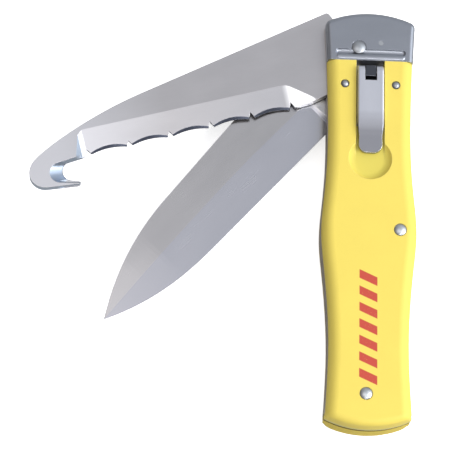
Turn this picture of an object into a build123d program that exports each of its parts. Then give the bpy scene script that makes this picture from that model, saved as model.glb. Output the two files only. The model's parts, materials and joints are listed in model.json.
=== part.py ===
from build123d import *
from math import atan2, cos, degrees, hypot, radians, sin
import os

os.makedirs("parts", exist_ok=True)

# Two-blade rescue knife with a lever lock.
# The knife lies on its back: +Z is the lever side, and +Y points from the butt to the bolster.
# Everything is drawn about the mid-plane between the two blades, with the blade pivot on the
# Z axis, and raised at the end so that the rear covers' flat faces lie on Z = 0.  Millimetres.

# --- layers, front half; the rear half mirrors them -------------------------------------------
DIVIDER_HALF = 0.2
BLADE_GAP = 0.05
BLADE_THICKNESS = 2.5
LINER_INNER = 2.8
LINER_OUTER = 3.8
COVER_TOP = 7.8
BLADE_MID = DIVIDER_HALF + BLADE_GAP + BLADE_THICKNESS / 2

# --- handle outline ---------------------------------------------------------------------------
CENTRE_X = 3.55
TOP_CORNER_Y = 8.2
TOP_APEX_Y = 11.3
BUTT_CORNER_Y = -112.2
BUTT_APEX_Y = -115.1
JOINT_Y = -4.15
TOP_CORNER_ROUND = 2.0
LIP_DEPTH = 1.7
LIP_END = 0.45
LIP_EDGE_ROUND = 0.35
HALF_WIDTHS = [
    (13.45, TOP_CORNER_Y),
    (12.8, -4.0),
    (12.3, -20.0),
    (12.35, -34.0),
    (13.1, -45.0),
    (13.95, -57.0),
    (13.1, -67.5),
    (12.0, -80.0),
    (11.62, -92.0),
    (12.0, -104.0),
    (12.45, BUTT_CORNER_Y),
]

# --- blades -----------------------------------------------------------------------------------
MAIN_REST = -132.45
MAIN_CLOSED = -92.75
MAIN_OPEN = MAIN_CLOSED - 180.0
RESCUE_REST = -164.5
RESCUE_CLOSED = -100.0
RESCUE_OPEN = RESCUE_CLOSED - 180.0
SPINE_CORNER = (5.25, -14.8)
TANG_HEEL = (4.1, -12.1)
TANG_ROUND = 1.0

# --- pins and rivets --------------------------------------------------------------------------
FIT = 0.02
RUNNING = 0.05
PIVOT_RADIUS = 1.75
PIVOT_HEAD_RADIUS = 2.0
RIVET_RADIUS = 0.9
RIVET_HEAD_RADIUS = 1.75
SPINE_RIVET = (12.35, -56.7)
BUTT_RIVET = (2.55, -105.9)
SCALE_PIN_RADIUS = 0.8
SCALE_PIN_HEAD_RADIUS = 1.18
SCALE_PIN_OFFSET = 7.57
SCALE_PIN_Y = -11.75
BOLSTER_PIN_RADIUS = 0.75
BOLSTER_PIN = (6.65, 1.5)

# --- lock -------------------------------------------------------------------------------------
LOCK_Y = -7.0
LOCK_RADIUS = 1.1
LOCK_HOLE_RADIUS = 1.4
LOCK_SWING = hypot(CENTRE_X, LOCK_Y)
LOCK_ANGLE = degrees(atan2(LOCK_Y, CENTRE_X))
LEAF_BOTTOM = 3.85
LEAF_TOP = 4.65
LEAF_WIDTH = 6.0
LEAF_FRONT_Y = -4.4
LEAF_BACK_Y = -32.6
LEAF_RIVET_YS = (-27.6, -30.8)
LEVER_PIN_Y = -7.9
LEVER_PIN_Z = 7.3
LEVER_PIN_RADIUS = 0.75
LEVER_WIDTH = 7.85
LEVER_TOP = 9.4
SLOT_WIDTH = 8.4
DEEP_SLOT_END_Y = -24.6
RECESS_Y = -35.1
RECESS_RADIUS = 6.4
RECESS_FLOOR = 6.4
RECESS_FLOOR_RADIUS = 4.0


# --- outlines ---------------------------------------------------------------------------------
def side_points(side):
    """Points of one long edge of the handle from the top down; side is +1 right, -1 left."""
    return [(CENTRE_X + side * half, y) for half, y in HALF_WIDTHS]


def butt_arc(inset):
    """The ends and the middle of the butt's arc, moved in from the outline by an inset."""
    half, corner_y = HALF_WIDTHS[-1]
    left = (CENTRE_X - half, corner_y + inset)
    right = (CENTRE_X + half, corner_y + inset)
    return left, (CENTRE_X, BUTT_APEX_Y + inset), right


def outline_lines(butt_inset=0.0):
    """The handle's closed outline, short of the butt by an inset, into the active BuildLine."""
    left_end, apex, right_end = butt_arc(butt_inset)
    right = side_points(1)[:-1] + [right_end]
    left = side_points(-1)[:-1] + [left_end]
    Spline(right)
    Spline(left)
    ThreePointArc(left[0], (CENTRE_X, TOP_APEX_Y), right[0])
    ThreePointArc(left_end, apex, right_end)


def round_corners(sketch):
    """Round the two bolster corners of a handle outline."""
    fillet(sketch.vertices().sort_by(Axis.Y)[-2:], TOP_CORNER_ROUND)


def blade_plane(angle, z):
    """A plane whose X runs from the pivot to the blade's tip and whose Y points to its edge."""
    direction = (cos(radians(angle)), sin(radians(angle)), 0)
    return Plane(origin=(0, 0, z), x_dir=direction, z_dir=(0, 0, 1))


def section_plane(angle, along, z):
    """A plane across a blade: X points to the edge and Y is up."""
    ahead = (cos(radians(angle)), sin(radians(angle)), 0)
    across = (-sin(radians(angle)), cos(radians(angle)), 0)
    return Plane(origin=(along * ahead[0], along * ahead[1], z), x_dir=across, z_dir=ahead)


def at_angle(angle, radius):
    return (radius * cos(radians(angle)), radius * sin(radians(angle)))


def from_blade(angle, point):
    """A point of a blade's own frame, in the handle's frame, with the blade at this angle."""
    x, y = point
    turn = radians(angle)
    return (x * cos(turn) - y * sin(turn), x * sin(turn) + y * cos(turn))


# --- steel sheets: two liners and the divider -------------------------------------------------
def sheet(low, thickness, extra_holes):
    """A sheet of the handle's outline with the through holes and some of its own."""
    with BuildPart() as part:
        with BuildSketch(Plane.XY.offset(low)) as outline:
            with BuildLine():
                outline_lines(LIP_DEPTH)
            make_face()
            round_corners(outline)
            Circle(PIVOT_RADIUS + FIT, mode=Mode.SUBTRACT)
            with Locations(SPINE_RIVET, BUTT_RIVET):
                Circle(RIVET_RADIUS + FIT, mode=Mode.SUBTRACT)
            for centre, radius in extra_holes:
                with Locations(centre):
                    Circle(radius, mode=Mode.SUBTRACT)
        extrude(amount=thickness)
    return part


COVER_HOLES = [
    ((CENTRE_X - SCALE_PIN_OFFSET, SCALE_PIN_Y), SCALE_PIN_RADIUS + FIT),
    ((CENTRE_X + SCALE_PIN_OFFSET, SCALE_PIN_Y), SCALE_PIN_RADIUS + FIT),
    (BOLSTER_PIN, BOLSTER_PIN_RADIUS + FIT),
]
LOCK_HOLES = [((CENTRE_X, LOCK_Y), LOCK_HOLE_RADIUS)]
LEAF_HOLES = [((CENTRE_X, y), SCALE_PIN_RADIUS + FIT) for y in LEAF_RIVET_YS]
LINER_THICKNESS = LINER_OUTER - LINER_INNER

front_liner = sheet(LINER_INNER, LINER_THICKNESS, COVER_HOLES + LOCK_HOLES + LEAF_HOLES)
rear_liner = sheet(-LINER_OUTER, LINER_THICKNESS, COVER_HOLES)
centre_divider = sheet(-DIVIDER_HALF, 2 * DIVIDER_HALF, LOCK_HOLES)

# --- main blade -------------------------------------------------------------------------------
MAIN_TIP = (111.2, 3.1)
MAIN_FOOT = (-1.5, -8.5)
MAIN_HUB_RADIUS = 8.7
GRIND_START = 20.2
GRIND_FULL = 21.4
CURVE_START = 72.0
RIDGE_BEND = 45.0


def toward_tip(along, start):
    """How far along the blade a place is between a start and the tip, from 0 to 1."""
    return max(0.0, (along - start) / (MAIN_TIP[0] - start))


def eased(straight, tip_straight, part):
    """A straight line that is bent by the time it reaches the tip so as to end on it."""
    return straight + (MAIN_TIP[1] - tip_straight) * part


def spine_line(along):
    return -15.6 + 0.081 * along


def edge_line(along):
    return 9.85 + 0.012 * along


def main_spine(along):
    return eased(spine_line(along), spine_line(MAIN_TIP[0]), toward_tip(along, CURVE_START) ** 2.15)


def main_edge(along):
    return eased(edge_line(along), edge_line(MAIN_TIP[0]), toward_tip(along, CURVE_START) ** 2.42)


def main_ridge(along):
    return eased(-0.6, -0.6, toward_tip(along, RIDGE_BEND) ** 1.35)


def diamond(along, ridge_half, spine_half, edge_half):
    """The blade's cross-section at a distance along it, with a ridge in the middle."""
    spine, ridge, edge = main_spine(along), main_ridge(along), main_edge(along)
    with BuildSketch(section_plane(MAIN_REST, along, -BLADE_MID)) as section:
        with BuildLine():
            Polyline(
                (spine, -spine_half),
                (ridge, -ridge_half),
                (edge, -edge_half),
                (edge, edge_half),
                (ridge, ridge_half),
                (spine, spine_half),
                close=True,
            )
        make_face()
    return section.sketch


HALF_BLADE = BLADE_THICKNESS / 2
SPINE_HALF = 0.45
EDGE_HALF = 0.06
CURVE_STATIONS = 26
last_station = MAIN_TIP[0] - 0.9
curve_step = (last_station - CURVE_START) / CURVE_STATIONS
grind_stations = [GRIND_FULL, RIDGE_BEND, 54, 60, 66]
grind_stations += [CURVE_START + curve_step * i for i in range(CURVE_STATIONS + 1)]
main_sections = []
for along in grind_stations:
    taper = min(1.0, ((MAIN_TIP[0] + 0.6 - along) / 26.0) ** 0.8)
    main_sections.append(
        diamond(along, HALF_BLADE * taper, SPINE_HALF * min(1.0, taper * 1.4), EDGE_HALF)
    )
main_tip_section = diamond(MAIN_TIP[0] - 0.15, 0.07, 0.05, 0.04)
plunge_start = diamond(GRIND_START, HALF_BLADE, HALF_BLADE - 0.001, HALF_BLADE - 0.001)

lock_hole = at_angle(LOCK_ANGLE - MAIN_CLOSED, LOCK_SWING)
lock_notch = at_angle(LOCK_ANGLE - MAIN_OPEN, LOCK_SWING)
lock_notch_mouth = at_angle(LOCK_ANGLE - MAIN_OPEN, LOCK_SWING + 3)

with BuildPart() as main_blade:
    with BuildSketch(blade_plane(MAIN_REST, -BLADE_MID - HALF_BLADE)) as main_outline:
        with BuildLine():
            Polyline(
                MAIN_FOOT,
                TANG_HEEL,
                SPINE_CORNER,
                (GRIND_START, main_spine(GRIND_START)),
                (GRIND_START, main_edge(GRIND_START)),
                (10.0, main_edge(10.0)),
                (5.5, 6.5),
                MAIN_FOOT,
            )
        make_face()
        fillet(main_outline.vertices().sort_by_distance(SPINE_CORNER)[0], TANG_ROUND)
        Circle(MAIN_HUB_RADIUS)
        Circle(PIVOT_RADIUS + RUNNING, mode=Mode.SUBTRACT)
        with Locations(lock_hole):
            Circle(LOCK_RADIUS + 0.15, mode=Mode.SUBTRACT)
        with BuildLine(mode=Mode.PRIVATE) as notch_line:
            Line(lock_notch, lock_notch_mouth)
        SlotArc(notch_line.edges()[0], 2 * LOCK_RADIUS + 0.3, mode=Mode.SUBTRACT)
    extrude(amount=BLADE_THICKNESS)
    loft([plunge_start, *main_sections, main_tip_section], ruled=True)

# --- rescue blade -----------------------------------------------------------------------------
RESCUE_HUB_RADIUS = 6.45
RESCUE_FOOT = (-1.0, -6.3)
RESCUE_TOP = DIVIDER_HALF + BLADE_GAP + BLADE_THICKNESS
TOOTH_LINE = 12.1
TOOTH_LEAN = 0.002
NOTCH_LINE = 10.15
NOTCH_LEAN = 0.0115
NOTCH_FIRST = 23.25
NOTCH_PITCH = 12.45
NOTCH_COUNT = 6
NOTCH_TIP_SIDE = 0.75
NOTCH_HANDLE_SIDE = 1.05
SCALLOP_DEPTH = 0.78
SCALLOP_SPREAD = 1.5
GRIND_LINE = 4.82
GRIND_SLOPE = 0.283
GRIND_FAR = 14.5
HOOK_FRONT = [(88.3, 12.6), (95.3, 13.3), (98.0, 16.2), (95.8, 19.3), (90.3, 20.75)]
HOOK_BACK = [(88.3, 12.95), (92.4, 13.3), (94.05, 16.0), (92.0, 18.7), (90.3, 19.25)]
HOOK_OPEN = 87.0

notch_places = [NOTCH_FIRST + NOTCH_PITCH * i for i in range(NOTCH_COUNT)]


def wedge(along, start, deepest):
    """A section of the ground-away wedge above the rescue blade's bevel."""
    with BuildSketch(section_plane(RESCUE_REST, along, RESCUE_TOP)) as section:
        with BuildLine():
            Polyline((start, 0), (start, 0.4), (GRIND_FAR, 0.4), (GRIND_FAR, -deepest), close=True)
        make_face()
    return section.sketch


def step_wedge(along, rise):
    """A section where the bevel's surface has climbed by rise on its way back to the flat."""
    return wedge(along, GRIND_LINE + rise / GRIND_SLOPE, full_depth - rise)


def leaning(along, line, lean=TOOTH_LEAN):
    """A point on a line that leans away from the blade's axis towards the tip."""
    return (along, line + lean * (along - NOTCH_FIRST))


def hook_outline(angle, z, corners):
    """The open mouth of the hook on one of the blade's faces."""
    start, upper, deepest, lower, tip = corners
    with BuildSketch(blade_plane(angle, z)) as mouth:
        with BuildLine():
            Line(start, upper)
            ThreePointArc(upper, deepest, lower)
            Polyline(lower, tip, (HOOK_OPEN, tip[1]), (HOOK_OPEN, start[1] + 0.6), start)
        make_face()
    return mouth.sketch


full_depth = (GRIND_FAR - GRIND_LINE) * GRIND_SLOPE
plunge = [
    wedge(15.2, 11.4, 0.02),
    wedge(22.2, GRIND_LINE + 1.0, 0.86 * full_depth),
    wedge(23.6, GRIND_LINE + 0.15, 0.96 * full_depth),
    wedge(25.4, GRIND_LINE, full_depth),
]
step = [
    step_wedge(85.8, 0.0),
    step_wedge(87.3, 0.33),
    step_wedge(89.0, 1.96),
    step_wedge(89.6, full_depth - 0.02),
]

scallops = []
for place in notch_places[:-1]:
    start = place + NOTCH_TIP_SIDE
    end = place + NOTCH_PITCH - NOTCH_HANDLE_SIDE
    scallops.append((start, (start + end) / 2, end))
scallop_chord = NOTCH_PITCH - NOTCH_TIP_SIDE - NOTCH_HANDLE_SIDE
scallop_radius = (scallop_chord**2 / 4 + SCALLOP_DEPTH**2) / (2 * SCALLOP_DEPTH)
scallop_centre_line = TOOTH_LINE - SCALLOP_DEPTH + scallop_radius
pin_when_closed = LOCK_ANGLE - RESCUE_CLOSED
hook_start, hook_upper, hook_deepest, hook_lower, hook_tip = HOOK_BACK

with BuildPart() as rescue_blade:
    with BuildSketch(blade_plane(RESCUE_REST, RESCUE_TOP - BLADE_THICKNESS)) as rescue_outline:
        with BuildLine():
            Polyline(RESCUE_FOOT, TANG_HEEL, SPINE_CORNER, (66.7, -2.2))
            Spline(
                (66.7, -2.2),
                (78.8, 1.0),
                (89.9, 5.05),
                (99.6, 9.75),
                (102.3, 11.75),
                (103.8, 14.6),
                (103.3, 17.6),
                (101.4, 19.45),
                (98.6, 20.1),
                tangents=[(0.979, 0.204), (-0.993, 0.116)],
            )
            Line((98.6, 20.1), (90.45, 21.0))
            ThreePointArc((90.45, 21.0), (89.6, 20.1), hook_tip)
            Line(hook_tip, hook_lower)
            ThreePointArc(hook_lower, hook_deepest, hook_upper)
            Polyline(
                hook_upper,
                hook_start,
                (86.9, 12.75),
                leaning(notch_places[-1] + NOTCH_TIP_SIDE, TOOTH_LINE),
            )
            for place in notch_places:
                Polyline(
                    leaning(place + NOTCH_TIP_SIDE, TOOTH_LINE),
                    leaning(place, NOTCH_LINE, NOTCH_LEAN),
                    leaning(place - NOTCH_HANDLE_SIDE, TOOTH_LINE),
                )
            for start, middle, end in scallops:
                ThreePointArc(
                    leaning(start, TOOTH_LINE),
                    leaning(middle, TOOTH_LINE - SCALLOP_DEPTH),
                    leaning(end, TOOTH_LINE),
                )
            Polyline(
                leaning(notch_places[0] - NOTCH_HANDLE_SIDE, TOOTH_LINE),
                (17.4, 11.9),
                (12.0, 10.7),
                (8.4, 9.2),
                (5.2, 7.0),
                RESCUE_FOOT,
            )
        make_face()
        fillet(rescue_outline.vertices().sort_by_distance(SPINE_CORNER)[0], TANG_ROUND)
        Circle(RESCUE_HUB_RADIUS)
        Circle(PIVOT_RADIUS + RUNNING, mode=Mode.SUBTRACT)
        with BuildLine(mode=Mode.PRIVATE) as relief_line:
            CenterArc((0, 0), LOCK_SWING, pin_when_closed, 180)
        SlotArc(relief_line.edges()[0], 2 * (LOCK_SWING - RESCUE_HUB_RADIUS), mode=Mode.SUBTRACT)
    extrude(amount=BLADE_THICKNESS)
    loft(plunge + step, ruled=True, mode=Mode.SUBTRACT)
    for scallop in scallops:
        centre = from_blade(RESCUE_REST, leaning(scallop[1], scallop_centre_line))
        with Locations((*centre, RESCUE_TOP - BLADE_THICKNESS + 0.08)):
            Cone(
                scallop_radius,
                scallop_radius + SCALLOP_SPREAD,
                SCALLOP_SPREAD,
                align=(Align.CENTER, Align.CENTER, Align.MIN),
                mode=Mode.SUBTRACT,
            )
    hook_faces = [
        hook_outline(RESCUE_REST, RESCUE_TOP, HOOK_FRONT),
        hook_outline(RESCUE_REST, RESCUE_TOP - BLADE_THICKNESS, HOOK_BACK),
    ]
    loft(hook_faces, ruled=True, mode=Mode.SUBTRACT)


# --- back springs: each fills its layer along the closed back and round the butt ----------------
WELL_WALL_X = 12.2
NOSE_GAP = 0.08
NOSE_END = -32.0
STOP_GAP = 0.12


def back_spring(low, hub_radius, open_angle, foot, tail):
    """A back spring whose head stops the open blade and whose nose bears on the tang's hub."""
    corner = from_blade(open_angle, SPINE_CORNER)
    heel = from_blade(open_angle, TANG_HEEL)
    slope = (corner[1] - heel[1]) / (corner[0] - heel[0])
    outside = (25.0, corner[1] - STOP_GAP + slope * (25.0 - corner[0]))
    nose = hub_radius + NOSE_GAP
    nose_start = degrees(atan2(*reversed(from_blade(open_angle, foot)))) - 2.0
    with BuildPart() as part:
        with BuildSketch(Plane.XY.offset(low)) as outline:
            with BuildLine():
                outline_lines(LIP_DEPTH)
            make_face()
            round_corners(outline)
            with BuildLine():
                Polyline(
                    at_angle(nose_start, nose),
                    (heel[0], heel[1] - STOP_GAP),
                    outside,
                    (25.0, -125.0),
                    (-25.0, -125.0),
                    *tail,
                    (WELL_WALL_X, -9.0),
                    at_angle(NOSE_END, nose),
                )
                CenterArc((0, 0), nose, NOSE_END, nose_start - NOSE_END)
            make_face(mode=Mode.INTERSECT)
            with Locations(SPINE_RIVET, BUTT_RIVET):
                Circle(RIVET_RADIUS + FIT, mode=Mode.SUBTRACT)
        extrude(amount=LINER_INNER - DIVIDER_HALF)
    return part


RESCUE_TAIL = [
    (-25.0, -106.6),
    (0.1, -106.6),
    (0.45, -105.2),
    (2.3, -103.75),
    (5.2, -101.9),
    (9.5, -98.5),
    (WELL_WALL_X, -92.0),
]
MAIN_TAIL = [
    (-2.2, -118.0),
    (-1.9, -111.8),
    (-1.5, -111.4),
    (0.45, -106.6),
    (2.05, -102.7),
    (4.8, -100.4),
    (9.3, -96.5),
    (WELL_WALL_X, -88.0),
]
rescue_backspring = back_spring(DIVIDER_HALF, RESCUE_HUB_RADIUS, RESCUE_OPEN, RESCUE_FOOT, RESCUE_TAIL)
drive_spring = back_spring(-LINER_INNER, MAIN_HUB_RADIUS, MAIN_OPEN, MAIN_FOOT, MAIN_TAIL)

# --- bolsters ---------------------------------------------------------------------------------
COVER_THICKNESS = COVER_TOP - LINER_OUTER
BEAD_RADIUS = 1.15
BEAD_Z = 6.9
GROOVE_RADIUS = 1.0
BEAD_LEFT_X = -5.9
BEAD_LENGTH = 19.0
SEAT_DEPTH = 0.3

with BuildPart() as front_bolster:
    with BuildSketch(Plane.XY.offset(LINER_OUTER)) as bolster_outline:
        with BuildLine():
            outline_lines()
        make_face()
        with Locations((CENTRE_X, JOINT_Y)):
            Rectangle(60, 60, align=(Align.CENTER, Align.MIN), mode=Mode.INTERSECT)
    extrude(amount=COVER_THICKNESS)
    fillet(front_bolster.edges().filter_by(Axis.Z).sort_by(Axis.Y)[-2:], TOP_CORNER_ROUND)
    fillet(front_bolster.edges().group_by(Axis.Z)[-1].sort_by(Axis.Y)[1:], 1.5)
    bead_y = JOINT_Y + BEAD_RADIUS
    for x, y, z, radius, mode in [
        (BEAD_LEFT_X, bead_y + 1.45, COVER_TOP + 0.3, GROOVE_RADIUS, Mode.SUBTRACT),
        (BEAD_LEFT_X, bead_y, BEAD_Z, BEAD_RADIUS, Mode.ADD),
    ]:
        with BuildSketch(Plane.YZ.offset(x)):
            with Locations((y, z)):
                Circle(radius)
        extrude(amount=BEAD_LENGTH, mode=mode)
        with Locations((x, y, z), (x + BEAD_LENGTH, y, z)):
            Sphere(radius, mode=mode)
    with Locations((0, 0, COVER_TOP)):
        CounterBoreHole(PIVOT_RADIUS + FIT, PIVOT_HEAD_RADIUS + 0.25, SEAT_DEPTH)
    with Locations((*BOLSTER_PIN, COVER_TOP)):
        Hole(BOLSTER_PIN_RADIUS + FIT)

# --- scales -----------------------------------------------------------------------------------
SCALE_GAP = 0.02
SIDE_ROUND = 3.4
BUTT_ROUND = 2.0


def scale_blank():
    """A handle scale with rounded sides, a lip round the steel's butt, and its rivet seats."""
    with BuildPart() as part:
        with BuildSketch(Plane.XY.offset(LINER_OUTER)):
            with BuildLine():
                outline_lines()
            make_face()
            with Locations((CENTRE_X, JOINT_Y - SCALE_GAP)):
                Rectangle(60, 200, align=(Align.CENTER, Align.MAX), mode=Mode.INTERSECT)
        extrude(amount=COVER_THICKNESS)
        top_edges = part.edges().group_by(Axis.Z)[-1].sort_by(Axis.Y)
        fillet(top_edges[1:-1], SIDE_ROUND)
        fillet(part.edges().group_by(Axis.Z)[-1].sort_by(Axis.Y)[0], BUTT_ROUND)
        with BuildSketch(Plane.XY.offset(LIP_END)):
            with BuildLine():
                outline_lines()
            make_face()
            left, apex, right = butt_arc(LIP_DEPTH - FIT)
            with BuildLine():
                ThreePointArc(left, apex, right)
                Polyline(right, (30.0, right[1]), (30.0, -125.0), (-30.0, -125.0), (-30.0, left[1]), left)
            make_face(mode=Mode.INTERSECT)
        extrude(amount=LINER_OUTER - LIP_END)
        fillet(part.edges().group_by(Axis.Z)[0].sort_by(Axis.Y)[0], LIP_EDGE_ROUND)
        with Locations((*SPINE_RIVET, COVER_TOP), (*BUTT_RIVET, COVER_TOP)):
            CounterBoreHole(RIVET_RADIUS + FIT, RIVET_HEAD_RADIUS + 0.15, SEAT_DEPTH)
        with Locations(
            (CENTRE_X - SCALE_PIN_OFFSET, SCALE_PIN_Y, COVER_TOP),
            (CENTRE_X + SCALE_PIN_OFFSET, SCALE_PIN_Y, COVER_TOP),
        ):
            CounterBoreHole(SCALE_PIN_RADIUS + FIT, SCALE_PIN_HEAD_RADIUS + 0.12, SEAT_DEPTH)
    return part


LEAF_POCKET_TOP = 5.5
blank = scale_blank()

with BuildPart() as front_scale:
    add(blank.part)
    with BuildSketch(Plane.XY.offset(LINER_OUTER)):
        with Locations((CENTRE_X, DEEP_SLOT_END_Y)):
            Rectangle(SLOT_WIDTH, 30, align=(Align.CENTER, Align.MIN))
    extrude(amount=COVER_THICKNESS, mode=Mode.SUBTRACT)
    with BuildSketch(Plane.XY.offset(RECESS_FLOOR)):
        with Locations((CENTRE_X, RECESS_Y)):
            Rectangle(SLOT_WIDTH, 12, align=(Align.CENTER, Align.MIN))
    extrude(amount=COVER_THICKNESS, mode=Mode.SUBTRACT)
    recess_plane = Plane(origin=(CENTRE_X, RECESS_Y, 0), x_dir=(1, 0, 0), z_dir=(0, -1, 0))
    with BuildSketch(recess_plane):
        with BuildLine():
            floor_end = (RECESS_FLOOR_RADIUS, RECESS_FLOOR)
            rim = (RECESS_RADIUS, COVER_TOP)
            TangentArc(floor_end, rim, tangent=(1, 0))
            Polyline(rim, (RECESS_RADIUS, COVER_TOP + 1), (0, COVER_TOP + 1), (0, RECESS_FLOOR), floor_end)
        make_face()
    revolve(axis=Axis((CENTRE_X, RECESS_Y, 0), (0, 0, 1)), mode=Mode.SUBTRACT)
    with BuildSketch(Plane.XY.offset(LINER_OUTER)):
        with Locations((CENTRE_X, LEAF_BACK_Y - 0.6)):
            Rectangle(LEAF_WIDTH + 0.8, 10, align=(Align.CENTER, Align.MIN))
    extrude(amount=LEAF_POCKET_TOP - LINER_OUTER, mode=Mode.SUBTRACT)

with BuildPart() as rear_scale:
    mirror(blank.part, about=Plane.XY)

with BuildPart() as rear_bolster:
    mirror(front_bolster.part, about=Plane.XY)


# --- pins and rivets --------------------------------------------------------------------------
HEAD_SEAT = COVER_TOP - SEAT_DEPTH
HEAD_RIM = 0.28
HEAD_CROWN = 0.85


def pins(centres, shank, low, high, low_head=0.0, high_head=0.0):
    """Pins along Z from low to high; a head radius puts a domed head beyond that end."""
    with BuildPart() as part:
        for x, y in centres:
            with BuildSketch(Plane(origin=(x, y, 0), x_dir=(1, 0, 0), z_dir=(0, -1, 0))):
                with BuildLine():
                    Polyline((0, low), (shank, low), (shank, high), (0, high), close=True)
                make_face()
                for seat, head, way in [(low, low_head, -1), (high, high_head, 1)]:
                    if head:
                        rim = (head, seat + way * HEAD_RIM)
                        crown = (0, seat + way * HEAD_CROWN)
                        with BuildLine():
                            TangentArc(crown, rim, tangent=(1, 0))
                            Polyline(rim, (head, seat), (0, seat), crown)
                        make_face()
            revolve(axis=Axis((x, y, 0), (0, 0, 1)))
    return part


pivot_pin = pins([(0, 0)], PIVOT_RADIUS, -HEAD_SEAT, HEAD_SEAT, PIVOT_HEAD_RADIUS, PIVOT_HEAD_RADIUS)
spine_rivet = pins([SPINE_RIVET], RIVET_RADIUS, -HEAD_SEAT, HEAD_SEAT, RIVET_HEAD_RADIUS, RIVET_HEAD_RADIUS)
butt_rivet = pins([BUTT_RIVET], RIVET_RADIUS, -HEAD_SEAT, HEAD_SEAT, RIVET_HEAD_RADIUS, RIVET_HEAD_RADIUS)

scale_pin_places = [(CENTRE_X + side * SCALE_PIN_OFFSET, SCALE_PIN_Y) for side in (-1, 1)]
front_scale_pins = pins(
    scale_pin_places, SCALE_PIN_RADIUS, LINER_INNER, HEAD_SEAT, 0.0, SCALE_PIN_HEAD_RADIUS
)
front_bolster_pin = pins([BOLSTER_PIN], BOLSTER_PIN_RADIUS, LINER_INNER, COVER_TOP)

with BuildPart() as scale_pins:
    add(front_scale_pins.part)
    mirror(about=Plane.XY)

with BuildPart() as bolster_pins:
    add(front_bolster_pin.part)
    mirror(about=Plane.XY)

# --- lock: a leaf spring riveted to the front liner, carrying the lock pin -----------------------
LEAF_LENGTH = LEAF_FRONT_Y - LEAF_BACK_Y
LEAF_RIVET_HEAD_RADIUS = 1.3
LEAF_RIVET_SEAT = 5.0
LOCK_PIN_TIP = -0.2
LOCK_HEAD_BACK_Y = -9.6
LOCK_HEAD_FRONT_Y = -6.05
LOCK_HEAD_WIDTH = 3.2
LOCK_HEAD_TOP = 9.0

with BuildPart() as lock_spring:
    with BuildSketch(Plane.XY.offset(LEAF_BOTTOM)) as leaf:
        with Locations((CENTRE_X, LEAF_BACK_Y)):
            Rectangle(LEAF_WIDTH, LEAF_LENGTH, align=(Align.CENTER, Align.MIN))
        fillet(leaf.vertices(), 0.8)
        with Locations((CENTRE_X, LOCK_Y)):
            Circle(LOCK_RADIUS + FIT, mode=Mode.SUBTRACT)
        with Locations(*[(CENTRE_X, y) for y in LEAF_RIVET_YS]):
            Circle(SCALE_PIN_RADIUS + 0.15, mode=Mode.SUBTRACT)
    extrude(amount=LEAF_TOP - LEAF_BOTTOM)

with BuildPart() as lock_spring_rivets:
    with BuildSketch(Plane.XY.offset(LINER_INNER)):
        with Locations(*[(CENTRE_X, y) for y in LEAF_RIVET_YS]):
            Circle(SCALE_PIN_RADIUS)
    extrude(amount=LEAF_RIVET_SEAT - LINER_INNER)
    with BuildSketch(Plane.XY.offset(LEAF_RIVET_SEAT)):
        with Locations(*[(CENTRE_X, y) for y in LEAF_RIVET_YS]):
            Circle(LEAF_RIVET_HEAD_RADIUS)
    extrude(amount=0.4)

with BuildPart() as lock_pin:
    with BuildSketch(Plane.XY.offset(LOCK_PIN_TIP)):
        with Locations((CENTRE_X, LOCK_Y)):
            Circle(LOCK_RADIUS)
    extrude(amount=LEAF_TOP - LOCK_PIN_TIP)
    with BuildSketch(Plane.XY.offset(LEAF_TOP)):
        with Locations((CENTRE_X, LOCK_HEAD_BACK_Y)):
            Rectangle(LOCK_HEAD_WIDTH, LOCK_HEAD_FRONT_Y - LOCK_HEAD_BACK_Y, align=(Align.CENTER, Align.MIN))
    extrude(amount=LOCK_HEAD_TOP - LEAF_TOP)
    fillet(lock_pin.edges().group_by(Axis.Z)[-1], 0.35)
    with BuildSketch(Plane.YZ.offset(CENTRE_X)):
        with Locations((LEVER_PIN_Y, LEVER_PIN_Z)):
            Circle(LEVER_PIN_RADIUS + FIT)
    extrude(amount=5, both=True, mode=Mode.SUBTRACT)

with BuildPart() as lever_pin:
    with BuildSketch(Plane.YZ.offset(CENTRE_X)):
        with Locations((LEVER_PIN_Y, LEVER_PIN_Z)):
            Circle(LEVER_PIN_RADIUS)
    extrude(amount=LEVER_WIDTH / 2 - 0.08, both=True)

# --- release lever: a folded channel with two ears round the lever pin and a flat finger tongue --
EAR_RADIUS = 2.1
WEB_THICKNESS = 1.2
WALL_THICKNESS = 1.1
WALL_END_Y = -24.3
BEND_TOP_Y = -22.0
CREASE_Y = -28.0
CREASE_TOP = 8.65
TONGUE_END_Y = -33.2
TONGUE_END_TOP = 7.8
TONGUE_THICKNESS = 1.0
TONGUE_WIDTH = 6.8
TONGUE_CORNER_ROUND = 2.4
EAR_CORNER_ROUND = 0.7
EAR_NOTCH_WIDTH = 3.55
EAR_NOTCH_END_Y = -11.0
web_under = LEVER_TOP - WEB_THICKNESS

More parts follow.
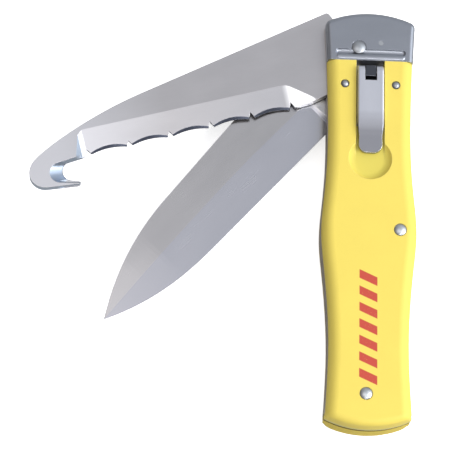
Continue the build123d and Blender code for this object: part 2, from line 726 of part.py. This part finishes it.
with BuildPart() as release_lever:
    with BuildSketch(Plane.YZ.offset(CENTRE_X)):
        with BuildLine():
            Line((LEVER_PIN_Y, LEVER_TOP), (BEND_TOP_Y, LEVER_TOP))
            TangentArc((BEND_TOP_Y, LEVER_TOP), (CREASE_Y, CREASE_TOP), tangent=(-1, 0))
            Polyline(
                (CREASE_Y, CREASE_TOP),
                (TONGUE_END_Y, TONGUE_END_TOP),
                (TONGUE_END_Y, TONGUE_END_TOP - TONGUE_THICKNESS),
                (CREASE_Y, CREASE_TOP - WEB_THICKNESS),
                (WALL_END_Y, web_under),
                (WALL_END_Y, 6.8),
                (-12.0, 5.6),
                (LEVER_PIN_Y, LEVER_PIN_Z - EAR_RADIUS),
            )
            ThreePointArc(
                (LEVER_PIN_Y, LEVER_PIN_Z - EAR_RADIUS),
                (LEVER_PIN_Y + EAR_RADIUS, LEVER_PIN_Z),
                (LEVER_PIN_Y, LEVER_TOP),
            )
        make_face()
        with Locations((LEVER_PIN_Y, LEVER_PIN_Z)):
            Circle(LEVER_PIN_RADIUS + RUNNING, mode=Mode.SUBTRACT)
    extrude(amount=LEVER_WIDTH / 2, both=True)
    fillet(release_lever.edges().filter_by(Axis.Y).group_by(Axis.Z)[-1], 0.6)
    with BuildSketch(Plane.XY.offset(web_under)):
        with Locations((CENTRE_X, WALL_END_Y)):
            Rectangle(LEVER_WIDTH - 2 * WALL_THICKNESS, 25, align=(Align.CENTER, Align.MIN))
    extrude(amount=-5, mode=Mode.SUBTRACT)
    with BuildSketch(Plane.XY.offset(web_under)):
        with Locations((CENTRE_X, EAR_NOTCH_END_Y)):
            Rectangle(EAR_NOTCH_WIDTH, 10, align=(Align.CENTER, Align.MIN))
    extrude(amount=5, mode=Mode.SUBTRACT)
    half_lever = LEVER_WIDTH / 2
    half_tongue = TONGUE_WIDTH / 2
    ear_front_y = LEVER_PIN_Y + EAR_RADIUS
    with BuildSketch(Plane.XY.offset(LINER_OUTER)) as lever_outline:
        with BuildLine():
            Polyline(
                (CENTRE_X - half_tongue, TONGUE_END_Y),
                (CENTRE_X - half_tongue, CREASE_Y),
                (CENTRE_X - half_lever, WALL_END_Y),
                (CENTRE_X - half_lever, ear_front_y),
                (CENTRE_X + half_lever, ear_front_y),
                (CENTRE_X + half_lever, WALL_END_Y),
                (CENTRE_X + half_tongue, CREASE_Y),
                (CENTRE_X + half_tongue, TONGUE_END_Y),
                (CENTRE_X - half_tongue, TONGUE_END_Y),
            )
        make_face()
        fillet(lever_outline.vertices().group_by(Axis.Y)[0], TONGUE_CORNER_ROUND)
        fillet(lever_outline.vertices().group_by(Axis.Y)[-1], EAR_CORNER_ROUND)
    extrude(amount=8, mode=Mode.INTERSECT)

# --- export -----------------------------------------------------------------------------------
pieces = {
    "front_liner": front_liner,
    "rear_liner": rear_liner,
    "centre_divider": centre_divider,
    "main_blade": main_blade,
    "rescue_blade": rescue_blade,
    "rescue_backspring": rescue_backspring,
    "drive_spring": drive_spring,
    "front_bolster": front_bolster,
    "rear_bolster": rear_bolster,
    "front_scale": front_scale,
    "rear_scale": rear_scale,
    "pivot_pin": pivot_pin,
    "spine_rivet": spine_rivet,
    "butt_rivet": butt_rivet,
    "scale_pins": scale_pins,
    "bolster_pins": bolster_pins,
    "lock_spring": lock_spring,
    "lock_spring_rivets": lock_spring_rivets,
    "lock_pin": lock_pin,
    "lever_pin": lever_pin,
    "release_lever": release_lever,
}
for name, piece in pieces.items():
    piece.part = piece.part.moved(Location((0, 0, COVER_TOP)))
    piece.part.label = name
    export_step(piece.part, f"parts/{name}.step")
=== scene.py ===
import json
from math import cos, radians, sin

import bmesh
import bpy
from mathutils import Matrix, Vector


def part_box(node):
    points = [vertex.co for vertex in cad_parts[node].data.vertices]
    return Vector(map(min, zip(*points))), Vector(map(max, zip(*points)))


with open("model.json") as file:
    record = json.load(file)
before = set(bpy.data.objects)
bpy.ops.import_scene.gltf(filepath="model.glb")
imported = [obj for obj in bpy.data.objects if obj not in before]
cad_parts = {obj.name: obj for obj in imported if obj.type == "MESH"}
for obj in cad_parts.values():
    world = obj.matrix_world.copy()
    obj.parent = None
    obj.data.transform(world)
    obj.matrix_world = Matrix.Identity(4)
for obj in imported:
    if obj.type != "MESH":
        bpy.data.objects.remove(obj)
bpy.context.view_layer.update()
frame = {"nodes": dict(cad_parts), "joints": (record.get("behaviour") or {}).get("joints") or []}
nodes = frame["nodes"]

# --- directions and places on the knife; the blades' angles are those that they rest at ----------
MAIN_BLADE_ANGLE = radians(-132.45)
RESCUE_BLADE_ANGLE = radians(-164.5)
ALONG_HANDLE = radians(90)
pivots = {joint["name"]: Vector(joint["pos_m"]) for joint in frame["joints"]}
HANDLE_CENTRE_X = pivots["lever_pivot"].x
COVER_FACE_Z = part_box("front_scale")[1].z
MID_PLANE_Z = COVER_FACE_Z / 2


# --- node helpers -----------------------------------------------------------------------------
def new_material(name):
    material = bpy.data.materials.new(name)
    material.use_nodes = True
    material.node_tree.nodes.clear()
    return material


def node(material, kind, inputs=None, **settings):
    """Adds a shader node; each input is a number, a tuple or another node's output socket."""
    made = material.node_tree.nodes.new(kind)
    for key, value in settings.items():
        setattr(made, key, value)
    for key, value in (inputs or {}).items():
        if isinstance(value, bpy.types.NodeSocket):
            material.node_tree.links.new(value, made.inputs[key])
        else:
            made.inputs[key].default_value = value
    return made


def math(material, operation, a, b=0.0, clamp=False):
    made = node(material, "ShaderNodeMath", {0: a, 1: b}, operation=operation, use_clamp=clamp)
    return made.outputs[0]


def product(material, *factors):
    result = factors[0]
    for factor in factors[1:]:
        result = math(material, "MULTIPLY", result, factor)
    return result


def total(material, *terms):
    result = terms[0]
    for term in terms[1:]:
        result = math(material, "ADD", result, term)
    return result


def mix(material, factor, a, b):
    made = node(material, "ShaderNodeMix", {0: factor, 6: a, 7: b}, data_type="RGBA")
    return made.outputs[2]


def remap(material, value, low, high, to_low=0.0, to_high=1.0):
    inputs = {0: value, 1: low, 2: high, 3: to_low, 4: to_high}
    return node(material, "ShaderNodeMapRange", inputs).outputs[0]


def within(material, value, middle, half, soft=0.00008):
    """1 where a value lies within half of the middle, 0 elsewhere, with a soft change."""
    away = math(material, "ABSOLUTE", math(material, "SUBTRACT", value, middle))
    return remap(material, away, half - soft, half + soft, 1.0, 0.0)


def dot(material, a, b):
    made = node(material, "ShaderNodeVectorMath", {0: a, 1: b}, operation="DOT_PRODUCT")
    return made.outputs["Value"]


def split(material, vector):
    """The X, Y and Z of a vector."""
    return node(material, "ShaderNodeSeparateXYZ", {0: vector}).outputs


def position(material):
    """A point's place in its own object's frame, which moves with it."""
    return node(material, "ShaderNodeTexCoord").outputs["Object"]


def surface_normal(material):
    return node(material, "ShaderNodeNewGeometry").outputs["Normal"]


def noise(material, size, angle=0.0, stretch=1.0, detail=3.0, roughness=0.55):
    """Noise whose grains are `size` metres across and `stretch` times as long, along angle."""
    place = node(
        material,
        "ShaderNodeMapping",
        {
            "Vector": position(material),
            "Rotation": (0, 0, angle),
            "Scale": (size * stretch, size, size),
        },
        vector_type="TEXTURE",
    )
    made = node(
        material,
        "ShaderNodeTexNoise",
        {"Vector": place.outputs[0], "Scale": 1.0, "Detail": detail, "Roughness": roughness},
    )
    return made.outputs[0]


EDGE_SAMPLES = 6
EDGE_LIKENESS = (0.995, 0.9)


def edge_mask(material, radius):
    """1 on the part's edges and 0 on its faces, with the rounded normal that found them."""
    rounded = node(material, "ShaderNodeBevel", {"Radius": radius}, samples=EDGE_SAMPLES).outputs[0]
    likeness = dot(material, rounded, surface_normal(material))
    return remap(material, likeness, *EDGE_LIKENESS), rounded


def bumped(material, strength, depth, height, normal):
    inputs = {"Strength": strength, "Distance": depth, "Height": height, "Normal": normal}
    return node(material, "ShaderNodeBump", inputs).outputs[0]


def tint(colour, factor=1.0):
    return (*[min(1.0, c * factor) for c in colour], 1.0)


def painted(material, shade, patches):
    """A shade with patches laid over it in turn; each has a mask, a strength and a colour."""
    for mask, strength, colour in patches:
        shade = mix(material, product(material, mask, strength), shade, tint(colour))
    return shade


def finish_material(material, colour, metallic, roughness, normal, **extra):
    inputs = {"Base Color": colour, "Metallic": metallic, "Roughness": roughness, "Normal": normal}
    shader = node(material, "ShaderNodeBsdfPrincipled", inputs | extra)
    node(material, "ShaderNodeOutputMaterial", {"Surface": shader.outputs[0]})
    return material


# --- steel ------------------------------------------------------------------------------------
LINE_STRETCH = 60
LINE_LEVELS = (0.3, 0.7)
LINE_STRENGTH = 0.16
LINE_TONE = 0.72
LINE_ROUGHNESS = 0.1
CLOUD_SIZE = 0.006
CLOUD_STRETCH = 2.5
CLOUD_TONES = (0.93, 1.07)
CLOUD_ROUGHNESS = 0.06
SPECK_SIZE = 0.00022
SPECK_LEVELS = (0.35, 0.65)
SPECK_STRENGTH = 0.5
SPECK_TONE = 0.7
WORN_POLISH = 0.1
STEEL_BUMP_STRENGTH = 0.25
STEEL_BUMP_DEPTH = 0.00002


def steel(
    name,
    colour,
    roughness,
    angle,
    grain=1.0,
    grain_size=0.00007,
    mottle=0.0,
    wear_and_highlight=0.5,
    edge=0.00014,
    edge_tone=1.3,
    patches=None,
):
    """Ground steel: fine lines along angle, cloudy patches, and edges in another tone, for rubbing
    and as a painted highlight along them (painted shade where edge_tone is below 1).

    patches is a function of the material and its normal that returns what painted() takes.
    """
    material = new_material(name)
    lines = noise(material, grain_size, angle, stretch=LINE_STRETCH, detail=4)
    clouds = noise(material, CLOUD_SIZE, angle, stretch=CLOUD_STRETCH, detail=4)
    specks = noise(material, SPECK_SIZE, detail=2)
    edges, rounded = edge_mask(material, edge)
    shade = mix(material, clouds, *[tint(colour, tone) for tone in CLOUD_TONES])
    dark_lines = remap(material, lines, *LINE_LEVELS, 0.0, LINE_STRENGTH * grain)
    shade = mix(material, dark_lines, shade, tint(colour, LINE_TONE))
    dark_specks = remap(material, specks, *SPECK_LEVELS, 0.0, SPECK_STRENGTH * mottle)
    shade = mix(material, dark_specks, shade, tint(colour, SPECK_TONE))
    if patches:
        shade = painted(material, shade, patches(material, rounded))
    # Painted highlight along the edges, lighter by edge_tone (painted shade where it is below 1),
    # on top of rubbing.
    worn_and_highlit = product(material, edges, wear_and_highlight)
    shade = mix(material, worn_and_highlit, shade, tint(colour, edge_tone))
    rough = total(
        material,
        roughness - LINE_ROUGHNESS / 2,
        product(material, lines, LINE_ROUGHNESS * grain),
        product(material, clouds, CLOUD_ROUGHNESS),
    )
    polish = product(material, worn_and_highlit, WORN_POLISH)
    rough = math(material, "SUBTRACT", rough, polish, clamp=True)
    height = total(material, product(material, lines, grain), product(material, specks, mottle))
    normal = bumped(material, STEEL_BUMP_STRENGTH, STEEL_BUMP_DEPTH, height, rounded)
    return finish_material(material, shade, 1.0, rough, normal)


def blade_place(material, angle):
    """Distances along a blade from the pivot and across it towards the edge."""
    inputs = {"Vector": position(material), "Rotation": (0, 0, -angle)}
    turned = node(material, "ShaderNodeMapping", inputs)
    along, across, _ = split(material, turned.outputs[0])
    return along, across


def upright(material, normal):
    """How squarely a face looks to the front or the back of the knife, from 0 to 1."""
    return math(material, "ABSOLUTE", split(material, normal)[2])


# A pair is where a mask is 0 and where it is 1.  Levels are values of upright(), and the rest is
# in metres from the pivot, along the blade or across it.
STEEP_LEVELS = (0.93, 0.85)
OFF_FLAT_LEVELS = (0.997, 0.99)
BEVEL_LEVEL = 0.962
BEVEL_LEVEL_HALF = 0.02
BEVEL_LEVEL_SOFT = 0.004
GROUND_ACROSS = (0.0046, 0.0052)
PLUNGE_ALONG = 0.0185
PLUNGE_HALF = 0.0052
PLUNGE_SOFT = 0.0012
SHADED_ALONG = (0.06, 0.024)
HOOK_ALONG = (0.0854, 0.0858)
TEETH_ALONG = 0.0545
TEETH_HALF_LENGTH = 0.0328
TEETH_ACROSS = 0.0113
TEETH_HALF_WIDTH = 0.0018
RESCUE_PALER_ALONG = (0.06, 0.094)
# Painted light and shade on the rescue blade: lighter steel to its tip, shade near the handle, a
# white glint, a bluish reflection, and dark shade between the teeth.
PAINTED_LIGHT_STEEL = (0.86, 0.86, 0.89)
SHADED_STEEL = (0.34, 0.35, 0.38)
GLINT_STEEL = (1.0, 1.0, 1.0)
HOOK_REFLECTION = (0.4, 0.46, 0.55)
TEETH_SHADE = (0.13, 0.145, 0.19)


def rescue_patches(material, normal):
    """The blade's painted light and shade: painted lighter to its tip, painted shade on the bevel's
    near end, a painted white glint on the sloping facet by the handle, a painted bluish reflection
    on the hook and step, and painted shade on the steep walls between the teeth."""
    along, across = blade_place(material, RESCUE_BLADE_ANGLE)
    level = upright(material, normal)
    steep = remap(material, level, *STEEP_LEVELS)
    # Painted white glint on the sloping facet by the handle.
    plunge = product(
        material,
        remap(material, level, *OFF_FLAT_LEVELS),
        within(material, along, PLUNGE_ALONG, PLUNGE_HALF, PLUNGE_SOFT),
        remap(material, across, *GROUND_ACROSS),
    )
    shaded = product(
        material,
        within(material, level, BEVEL_LEVEL, BEVEL_LEVEL_HALF, BEVEL_LEVEL_SOFT),
        remap(material, along, *SHADED_ALONG),
    )
    # Painted bluish reflection on the steep faces of the hook and step.
    hook = product(material, steep, remap(material, along, *HOOK_ALONG))
    # Painted shade on the steep walls between the teeth.
    teeth = product(
        material,
        steep,
        within(material, along, TEETH_ALONG, TEETH_HALF_LENGTH),
        within(material, across, TEETH_ACROSS, TEETH_HALF_WIDTH),
    )
    return [
        (remap(material, along, *RESCUE_PALER_ALONG), 0.75, PAINTED_LIGHT_STEEL),
        (shaded, 0.4, SHADED_STEEL),
        (plunge, 1.0, GLINT_STEEL),
        (hook, 1.0, HOOK_REFLECTION),
        (teeth, 1.0, TEETH_SHADE),
    ]


EDGE_HALF_LEAN = (0.01, 0.06)
MAIN_PALER_ALONG = (0.04, 0.12)
# Painted light and reflection on the main blade: a lighter tip, and a bluish edge half for the
# bluish light that half reflects.
PAINTED_LIGHT_TIP = (0.74, 0.72, 0.73)
BLUE_REFLECTION = (0.42, 0.43, 0.49)


def main_patches(material, normal):
    """A painted bluish reflection on the edge half, and a painted lighter tip."""
    along, _ = blade_place(material, MAIN_BLADE_ANGLE)
    own_normal = node(
        material,
        "ShaderNodeVectorTransform",
        {0: normal},
        vector_type="NORMAL",
        convert_from="WORLD",
        convert_to="OBJECT",
    )
    to_edge = (-sin(MAIN_BLADE_ANGLE), cos(MAIN_BLADE_ANGLE), 0.0)
    lean = dot(material, own_normal.outputs[0], to_edge)
    return [
        (remap(material, along, *MAIN_PALER_ALONG), 0.7, PAINTED_LIGHT_TIP),
        (remap(material, lean, *EDGE_HALF_LEAN), 0.55, BLUE_REFLECTION),
    ]


LEVER_BEND_Y = (-0.0205, -0.0268)
# Painted shade over the lever's bend.
LEVER_BEND_SHADE = (0.27, 0.275, 0.3)


def lever_patches(material, normal):
    """Painted shade: the lever turns darker over its bend, for the dark reflection it catches
    there.
    """
    y = split(material, position(material))[1]
    return [(remap(material, y, *LEVER_BEND_Y), 1.0, LEVER_BEND_SHADE)]


RIM_LEVELS = (0.97, 0.72)
# Painted shade, darker where a head's surface tilts away from facing the front.
RIM_SHADE = (0.1, 0.1, 0.11)


def pin_patches(material, normal):
    """Painted shade round the rims of the domed heads."""
    return [(remap(material, upright(material, normal), *RIM_LEVELS), 0.85, RIM_SHADE)]


# --- plastic ----------------------------------------------------------------------------------
BAR_COUNT = 7
BAR_PITCH = 0.0049
BAR_HALF = 0.0013
BAR_SLANT = 0.45
BARS_X = 0.0031
BARS_Y = -0.0862
BARS_HALF_WIDTH = 0.0026
PRINT_DEPTH = 0.0003
WOBBLE_SIZE = 0.0004
WOBBLE = 0.0001


def printed_bars(material):
    """A mask for a row of plain slanted bars printed along the front of the handle."""
    x, y, z = split(material, position(material))
    wobble = product(material, noise(material, WOBBLE_SIZE), WOBBLE)
    slanted = total(material, product(material, x, BAR_SLANT), y, wobble)
    middle = BARS_Y + BARS_X * BAR_SLANT
    from_middle = math(material, "SUBTRACT", slanted, middle)
    return product(
        material,
        within(material, math(material, "PINGPONG", from_middle, BAR_PITCH / 2), 0.0, BAR_HALF),
        within(material, slanted, middle, BAR_PITCH * BAR_COUNT / 2),
        within(material, x, BARS_X, BARS_HALF_WIDTH),
        within(material, z, COVER_FACE_Z, PRINT_DEPTH),
    )


HOLLOW_Y = -0.023
HOLLOW_HALF_LENGTH = 0.0192
HOLLOW_HALF_WIDTH = 0.0068
HOLLOW_DEPTHS = (0.0002, 0.0013)


def hollow(material):
    """A mask for the finger dish and the lever's slot, where shade is painted."""
    x, y, z = split(material, position(material))
    return product(
        material,
        within(material, x, HANDLE_CENTRE_X, HOLLOW_HALF_WIDTH),
        within(material, y, HOLLOW_Y, HOLLOW_HALF_LENGTH),
        remap(material, z, *[COVER_FACE_Z - depth for depth in HOLLOW_DEPTHS]),
    )


PRINT_WEAR_LEVELS = (0.62, 0.75)
PRINT_COVERS = (0.92, 0.6)
INK = (0.5, 0.022, 0.04)
# Painted shade in the finger dish and the lever's slot.
HOLLOW_SHADE = (0.68, 0.575, 0.105)


def front_patches(material, skin):
    """The printed bars, thinner on the skin's high grains, and painted shade in the hollow."""
    cover = remap(material, skin, *PRINT_WEAR_LEVELS, *PRINT_COVERS)
    ink = product(material, printed_bars(material), cover)
    return [(ink, 1.0, INK), (hollow(material), 1.0, HOLLOW_SHADE)]


LIP_Y = (-0.109, -0.11)
LIP_BAND_ABOVE_MIDDLE = 0.0013
LIP_BAND_HALF = 0.0008
LIP_BAND_SOFT = 0.0004
LIP_GAP_HALF = 0.0006
# A paler cream band on the front lip above the gap, and painted shade in the gap itself.
LIP_PALE_BAND = (0.56, 0.52, 0.27)
LIP_GAP_SHADE = (0.1, 0.075, 0.03)


def lip_patches(material):
    """A paler band on the lips at the butt, and painted shade in the gap between them."""
    _, y, z = split(material, position(material))
    at_butt = remap(material, y, *LIP_Y)
    rub_z = MID_PLANE_Z + LIP_BAND_ABOVE_MIDDLE
    pale_band = within(material, z, rub_z, LIP_BAND_HALF, LIP_BAND_SOFT)
    gap = within(material, z, MID_PLANE_Z, LIP_GAP_HALF)
    return [
        (product(material, at_butt, pale_band), 0.6, LIP_PALE_BAND),
        (product(material, at_butt, gap), 1.0, LIP_GAP_SHADE),
    ]


PLASTIC_CLOUD_SIZE = 0.012
PLASTIC_CLOUD_TONES = (0.96, 1.04)
SKIN_SIZE = 0.00035
SKIN_LEVELS = (0.35, 0.7)
SKIN_STRENGTH = 0.1
SKIN_TONE = 0.8
SKIN_ROUGHNESS = 0.12
SCUFF_SIZE = 0.0008
SCUFF_STRETCH = 8
SCUFF_ANGLE = ALONG_HANDLE + 0.4
SCUFF_ROUGHNESS = 0.1
PLASTIC_ROUGHNESS = 0.44
PLASTIC_EDGE = 0.0002
PLASTIC_BUMP_STRENGTH = 0.35
PLASTIC_BUMP_DEPTH = 0.00003
RUBBED_PLASTIC = (0.95, 0.86, 0.45)


def plastic(name, colour, sheen, patches=None):
    """Moulded plastic: a fine eggshell skin, slight cloudiness, and paler rubbed edges.

    patches is a function of the material and its skin that returns what painted() takes.
    """
    material = new_material(name)
    clouds = noise(material, PLASTIC_CLOUD_SIZE)
    skin = noise(material, SKIN_SIZE)
    scuffs = noise(material, SCUFF_SIZE, SCUFF_ANGLE, stretch=SCUFF_STRETCH, detail=5)
    edges, rounded = edge_mask(material, PLASTIC_EDGE)
    shade = mix(material, clouds, *[tint(colour, tone) for tone in PLASTIC_CLOUD_TONES])
    dark_skin = remap(material, skin, *SKIN_LEVELS, 0.0, SKIN_STRENGTH)
    shade = mix(material, dark_skin, shade, tint(colour, SKIN_TONE))
    if patches:
        shade = painted(material, shade, patches(material, skin))
    shade = painted(material, shade, lip_patches(material))
    shade = painted(material, shade, [(edges, 0.35, RUBBED_PLASTIC)])
    rough = total(
        material,
        PLASTIC_ROUGHNESS,
        product(material, skin, SKIN_ROUGHNESS),
        product(material, scuffs, SCUFF_ROUGHNESS),
    )
    normal = bumped(material, PLASTIC_BUMP_STRENGTH, PLASTIC_BUMP_DEPTH, skin, rounded)
    shine = {"Specular IOR Level": sheen}
    return finish_material(material, shade, 0.0, rough, normal, **shine)


# --- which part has which material ------------------------------------------------------------
finishes = {
    "front_scale": plastic(
        "yellow_plastic", (0.8, 0.635, 0.118), sheen=0.3, patches=front_patches
    ),
    "rear_scale": plastic("shaded_plastic", (0.72, 0.56, 0.11), sheen=0.06),
    "main_blade": steel(
        "main_blade_steel",
        (0.59, 0.58, 0.58),
        0.27,
        MAIN_BLADE_ANGLE,
        grain=0.25,
        grain_size=0.00013,
        edge=0.00004,
        patches=main_patches,
    ),
    "rescue_blade": steel(
        "rescue_blade_steel",
        (0.57, 0.555, 0.56),
        0.3,
        RESCUE_BLADE_ANGLE,
        edge=0.0002,
        edge_tone=0.6,
        wear_and_highlight=0.9,
        patches=rescue_patches,
    ),
    "front_bolster": steel(
        "bolster_steel", (0.37, 0.39, 0.43), 0.34, 0.0, grain=0.3, mottle=0.6
    ),
    "release_lever": steel(
        "lever_steel",
        (0.72, 0.73, 0.78),
        0.3,
        ALONG_HANDLE,
        grain=0.6,
        mottle=0.15,
        wear_and_highlight=1.0,
        edge_tone=1.4,
        patches=lever_patches,
    ),
    # Painted shade and highlight: the lock pin's head is nearly black for the shade it sits in,
    # with its edges painted bright for the light line along its top.
    "lock_pin": steel(
        "lock_pin_shade_and_glint_steel", (0.09, 0.095, 0.11), 0.3, 0.0, grain=0.5, edge_tone=3.0
    ),
    # Painted shade: the leaf is nearly black, so the slot under the lever's fork reads as deep
    # shade.
    "lock_spring": steel("leaf_shade_steel", (0.12, 0.12, 0.13), 0.4, ALONG_HANDLE, grain=0.8),
    # Painted shade and reflection: the liners and divider are darker and warmer than bare steel,
    # for the shade between the scales and the yellow they reflect.
    "front_liner": steel(
        "liner_steel", (0.5, 0.46, 0.41), 0.4, ALONG_HANDLE, grain=0.8, mottle=0.2
    ),
    "drive_spring": steel("spring_steel", (0.5, 0.51, 0.5), 0.33, ALONG_HANDLE),
    "pivot_pin": steel(
        "pin_steel", (0.45, 0.47, 0.49), 0.4, 0.0, grain=0.3, wear_and_highlight=0.0, patches=pin_patches
    ),
    "spine_rivet": steel(
        "rivet_steel", (0.6, 0.63, 0.65), 0.38, 0.0, grain=0.3, wear_and_highlight=0.0, patches=pin_patches
    ),
}
for copy, original in {
    "rear_bolster": "front_bolster",
    "rear_liner": "front_liner",
    "centre_divider": "front_liner",
    "rescue_backspring": "drive_spring",
    "butt_rivet": "spine_rivet",
    "scale_pins": "pivot_pin",
    "bolster_pins": "pivot_pin",
    "lever_pin": "pivot_pin",
    "lock_spring_rivets": "pivot_pin",
}.items():
    finishes[copy] = finishes[original]
for name, material in finishes.items():
    slots = nodes[name].material_slots
    if not slots:
        nodes[name].data.materials.append(material)
    for slot in slots:
        slot.material = material

# --- floor ------------------------------------------------------------------------------------
FLOOR_Z = -0.0007
FLOOR_HALF = 3.0
FIBRE_SIZE = 0.002
PAPER_COLOURS = ((0.88, 0.88, 0.88, 1), (0.92, 0.92, 0.92, 1))
PAPER_GLOW = 0.7
PAPER_BOUNCE = (0.5, 0.5, 0.48, 1)
PAPER_ROUGHNESS = 0.9

mesh = bpy.data.meshes.new("floor")
shape = bmesh.new()
bmesh.ops.create_grid(shape, x_segments=1, y_segments=1, size=FLOOR_HALF)
shape.to_mesh(mesh)
shape.free()
floor = bpy.data.objects.new("floor", mesh)
floor.location = (0, 0, FLOOR_Z)
bpy.context.scene.collection.objects.link(floor)

# The camera sees glowing white paper, but only dimmer paper lights the knife, so that the paper is
# white while the knife's sides keep their shade.
paper = new_material("floor_paper")
fibres = noise(paper, FIBRE_SIZE, detail=4)
seen = node(paper, "ShaderNodeLightPath").outputs["Is Camera Ray"]
paper_shade = mix(paper, seen, PAPER_BOUNCE, mix(paper, fibres, *PAPER_COLOURS))
glow = {"Emission Color": (1, 1, 1, 1), "Emission Strength": product(paper, seen, PAPER_GLOW)}
finish_material(paper, paper_shade, 0.0, PAPER_ROUGHNESS, surface_normal(paper), **glow)
floor.data.materials.append(paper)

# --- lights: name, direction, distance, width, height, power and colour ------------------------
LIGHTS_TARGET = Vector((-0.02, -0.05, 0.0))
WHITE = (1, 1, 1)
SOFTBOXES = [
    ("right_box", (0.85, 0.05, 0.5), 1.1, 1.2, 1.0, 3.8, (0.93, 0.97, 1.0)),
    ("high_box", (0.75, -0.25, 0.65), 1.0, 0.6, 0.6, 6.0, WHITE),
    ("bead_box", (0.2, -0.66, 0.73), 1.0, 0.4, 0.16, 1.8, WHITE),
    ("low_box", (-0.1, -0.85, 0.4), 1.0, 0.5, 0.08, 0.8, WHITE),
]
for name, direction, distance, width, height, power, colour in SOFTBOXES:
    data = bpy.data.lights.new(name, "AREA")
    data.shape = "RECTANGLE"
    data.size = width
    data.size_y = height
    data.energy = power
    data.color = colour
    light = bpy.data.objects.new(name, data)
    way = Vector(direction).normalized()
    light.location = LIGHTS_TARGET + way * distance
    light.rotation_euler = way.to_track_quat("Z", "Y").to_euler()
    bpy.context.scene.collection.objects.link(light)

# --- the studio round it: dark at the left and by the butt, with one soft glow overhead ----------
# A pair is where a change starts and where it is complete, in the parts of a unit direction.
LEFT_COLOUR = (0.3, 0.29, 0.29, 1)
RIGHT_COLOUR = (0.86, 0.91, 1.0, 1)
TO_RIGHT_X = (-0.7, 0.85)
BOLSTER_END_COLOUR = (0.6, 0.62, 0.66, 1)
BOLSTER_END_Y = (0.5, 0.95)
BUTT_END_COLOUR = (0.13, 0.13, 0.16, 1)
BUTT_END_Y = (-0.27, -0.75)
GLOW_COLOUR = (1.6, 1.57, 1.6, 1)
GLOW_DIRECTION = (-0.25, -0.12, 0.96)
GLOW_LIKENESS = (0.865, 0.995)

world = bpy.data.worlds.new("studio")
world.use_nodes = True
world.node_tree.nodes.clear()
bpy.context.scene.world = world
ray = node(world, "ShaderNodeTexCoord").outputs["Generated"]
ray_x, ray_y, _ = split(world, ray)
towards_glow = dot(world, ray, GLOW_DIRECTION)
sky = mix(world, remap(world, ray_x, *TO_RIGHT_X), LEFT_COLOUR, RIGHT_COLOUR)
sky = mix(world, remap(world, ray_y, *BOLSTER_END_Y), sky, BOLSTER_END_COLOUR)
sky = mix(world, remap(world, ray_y, *BUTT_END_Y), sky, BUTT_END_COLOUR)
sky = mix(world, remap(world, towards_glow, *GLOW_LIKENESS), sky, GLOW_COLOUR)
back = node(world, "ShaderNodeBackground", {"Color": sky, "Strength": 1.0})
node(world, "ShaderNodeOutputWorld", {"Surface": back.outputs[0]})

# --- camera: looks down on the knife from the butt's side, turned slightly to its left -----------
CAMERA_TURN = radians(2.3)
CAMERA_TILT = radians(18)
CAMERA_ROLL = radians(-1.3)
CAMERA_PLACE = Vector((-0.06505, -0.27093, 0.67300))
SENSOR_WIDTH = 36.0
LENS = 191.1

towards = Vector(
    (
        -sin(CAMERA_TURN) * cos(CAMERA_TILT),
        -sin(CAMERA_TILT),
        cos(CAMERA_TURN) * cos(CAMERA_TILT),
    )
)
level_up = (Vector((0, 1, 0)) - towards.y * towards).normalized()
level_right = level_up.cross(towards)
up = cos(CAMERA_ROLL) * level_up + sin(CAMERA_ROLL) * level_right
right = up.cross(towards)
camera_data = bpy.data.cameras.new("camera")
camera_data.sensor_width = SENSOR_WIDTH
camera_data.lens = LENS
camera = bpy.data.objects.new("camera", camera_data)
facing = Matrix((right, up, towards)).transposed().to_4x4()
camera.matrix_world = Matrix.Translation(CAMERA_PLACE) @ facing
bpy.context.scene.collection.objects.link(camera)
bpy.context.scene.camera = camera
bpy.context.scene.view_settings.view_transform = "Standard"
